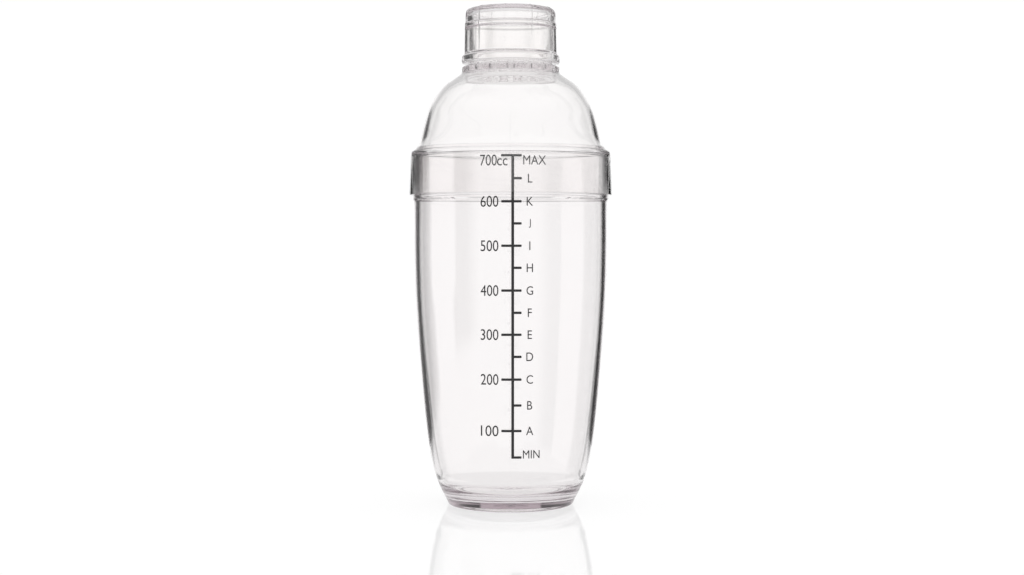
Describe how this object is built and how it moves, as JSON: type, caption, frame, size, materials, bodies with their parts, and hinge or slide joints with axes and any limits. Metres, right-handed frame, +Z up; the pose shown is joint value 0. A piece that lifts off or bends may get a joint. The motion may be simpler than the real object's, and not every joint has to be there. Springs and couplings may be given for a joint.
{
  "type": "drink shaker",
  "caption": "Clear plastic drink shaker: tapered measuring cup with a printed scale, domed push-on lid with a built-in strainer and neck, and a ribbed push-on cap.",
  "frame": {"origin": "centre of the plane that the foot ring stands on", "axes": "+Z up along the shaker's axis of revolution, -Y towards the viewer of the printed scale, +X to that viewer's right"},
  "size_m": [0.0912, 0.0912, 0.2233],
  "materials": {
    "cup_plastic": "clear, polished",
    "lid_plastic": "clear, polished",
    "cap_plastic": "clear, polished",
    "scale_ink": "screen-printed ink"
  },
  "bodies": {
    "cup": {"cup": "cup_plastic"},
    "strainer_lid": {"strainer_lid": "lid_plastic"},
    "cap": {"cap": "cap_plastic"}
  },
  "joints": [
    {"name": "lid_lift", "type": "slide", "parent": "cup", "child": "strainer_lid", "axis": [0, 0, 1], "range_m": [0, 0.1]},
    {"name": "cap_lift", "type": "slide", "parent": "strainer_lid", "child": "cap", "axis": [0, 0, 1], "range_m": [0, 0.05]}
  ]
}
